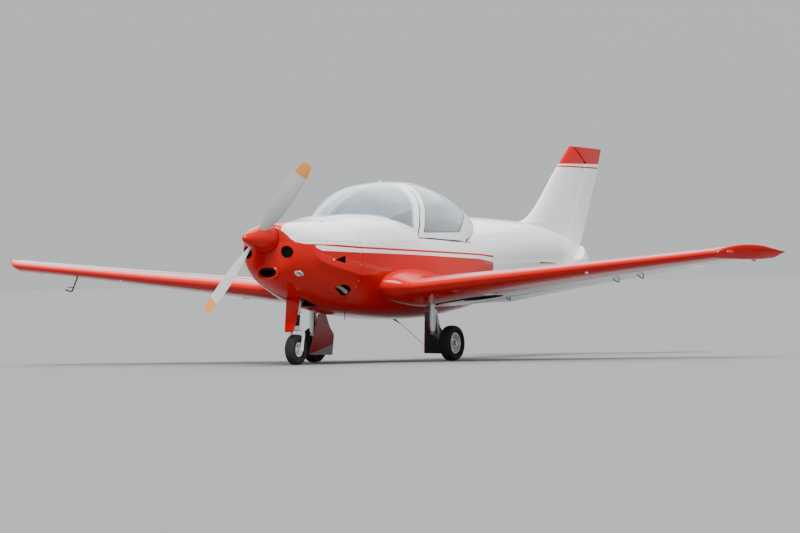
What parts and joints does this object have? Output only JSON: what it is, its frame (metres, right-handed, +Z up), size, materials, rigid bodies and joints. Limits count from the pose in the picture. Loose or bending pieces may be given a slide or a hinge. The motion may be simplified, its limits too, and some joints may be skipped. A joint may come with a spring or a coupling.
{
  "type": "two-seat low-wing light aircraft",
  "caption": "Low-wing light aircraft with a sliding bubble canopy, tapered wings with flaps and ailerons, tractor propeller and tricycle gear.",
  "frame": {"origin": "centre of the bounding box at the floor, under the wheels", "axes": "+X to the aircraft's port side, +Y towards the tail, +Z up"},
  "size_m": [7.5404, 6.25, 1.8617],
  "materials": {
    "white_paint": "gloss white paint on a composite skin",
    "red_paint": "gloss red paint on a composite skin",
    "glazing": "clear blown acrylic",
    "silver_metal": "satin silver",
    "steel": "heat-dulled steel",
    "casting": "plain block that stands in for the engine",
    "tyre_rubber": "worn black rubber",
    "blade_grey": "light grey composite with orange tips",
    "black_plastic": "matt black",
    "seat_cloth": "dark woven cloth",
    "lamp_glass": "clear lamp cover over a pale reflector"
  },
  "bodies": {
    "root": {"fuselage": "white_paint", "cowl_upper": "white_paint", "cowl_lower": "red_paint", "landing_light": "lamp_glass", "engine_block": "casting", "windscreen_glass": "glazing", "windscreen_bow": "white_paint", "wing_left": "white_paint", "wing_right": "white_paint", "wingtip_left": "red_paint", "wingtip_right": "red_paint", "pitot_tube": "black_plastic", "fin": "white_paint", "tailplane_left": "white_paint", "tailplane_right": "white_paint", "nose_strut": "silver_metal", "nose_door": "red_paint", "main_leg_left": "silver_metal", "main_leg_right": "silver_metal", "main_arm_left": "silver_metal", "main_arm_right": "silver_metal", "main_door_left": "red_paint", "main_door_right": "red_paint", "instrument_panel": "black_plastic", "seat_cushion_left": "seat_cloth", "seat_cushion_right": "seat_cloth", "seat_back_left": "seat_cloth", "seat_back_right": "seat_cloth", "control_stick_left": "black_plastic", "control_stick_right": "black_plastic", "exhaust_left": "steel", "exhaust_right": "steel", "belly_aerial": "white_paint"},
    "propeller": {"spinner": "red_paint", "propeller_hub": "silver_metal", "blade_1": "blade_grey", "blade_2": "blade_grey"},
    "nose_leg": {"nose_fork": "silver_metal"},
    "nose_wheel": {"nose_tyre": "tyre_rubber", "nose_hub": "silver_metal"},
    "main_wheel_left": {"main_tyre_left": "tyre_rubber", "main_hub_left": "silver_metal"},
    "main_wheel_right": {"main_tyre_right": "tyre_rubber", "main_hub_right": "silver_metal"},
    "canopy": {"canopy_frame": "white_paint", "canopy_glass_left": "glazing", "canopy_glass_right": "glazing"},
    "flap_port": {"flap_left": "white_paint"},
    "flap_starboard": {"flap_right": "white_paint"},
    "aileron_port": {"aileron_left": "white_paint"},
    "aileron_starboard": {"aileron_right": "white_paint"},
    "elevator": {"elevator_left": "white_paint", "elevator_right": "white_paint", "elevator_tube": "steel"},
    "rudder": {"rudder": "white_paint"}
  },
  "joints": [
    {"name": "propeller_spin", "type": "hinge", "parent": "root", "child": "propeller", "pos_m": [0, -2.91, 1.062], "axis": [0, 1, 0], "continuous": true},
    {"name": "nose_steering", "type": "hinge", "parent": "root", "child": "nose_leg", "pos_m": [0, -2.287, 0.32], "axis": [0, 0.2049, 0.9788], "range_deg": [-25, 25]},
    {"name": "nose_wheel_spin", "type": "hinge", "parent": "nose_leg", "child": "nose_wheel", "pos_m": [0, -2.31, 0.128], "axis": [1, 0, 0], "continuous": true},
    {"name": "main_wheel_left_spin", "type": "hinge", "parent": "root", "child": "main_wheel_left", "pos_m": [0.68, -0.863, 0.15], "axis": [1, 0, 0], "continuous": true},
    {"name": "main_wheel_right_spin", "type": "hinge", "parent": "root", "child": "main_wheel_right", "pos_m": [-0.68, -0.863, 0.15], "axis": [1, 0, 0], "continuous": true},
    {"name": "canopy_slide", "type": "slide", "parent": "root", "child": "canopy", "axis": [0, 0.999, -0.0454], "range_m": [0, 0.75]},
    {"name": "flap_left_hinge", "type": "hinge", "parent": "root", "child": "flap_port", "pos_m": [0.61, -0.45658, 0.55373], "axis": [-0.9864, 0.1268, -0.1049], "range_deg": [0, 35]},
    {"name": "flap_right_hinge", "type": "hinge", "parent": "root", "child": "flap_starboard", "pos_m": [-0.61, -0.45658, 0.55373], "axis": [-0.9864, -0.1268, 0.1049], "range_deg": [0, 35]},
    {"name": "aileron_left_hinge", "type": "hinge", "parent": "root", "child": "aileron_port", "pos_m": [0.61, -0.45658, 0.55373], "axis": [-0.9864, 0.1268, -0.1049], "range_deg": [-20, 20]},
    {"name": "aileron_right_hinge", "type": "hinge", "parent": "root", "child": "aileron_starboard", "pos_m": [-0.61, -0.45658, 0.55373], "axis": [-0.9864, -0.1268, 0.1049], "range_deg": [-20, 20]},
    {"name": "elevator_hinge", "type": "hinge", "parent": "root", "child": "elevator", "pos_m": [0, 2.515, 0.765], "axis": [1, 0, 0], "range_deg": [-20, 25]},
    {"name": "rudder_hinge", "type": "hinge", "parent": "root", "child": "rudder", "pos_m": [0, 2.295, 0.85], "axis": [0, 0.5218, 0.8531], "range_deg": [-25, 25]}
  ],
  "couplings": [
    {"joint": "flap_right_hinge", "follows": "flap_left_hinge", "ratio": 1},
    {"joint": "aileron_right_hinge", "follows": "aileron_left_hinge", "ratio": -1}
  ]
}
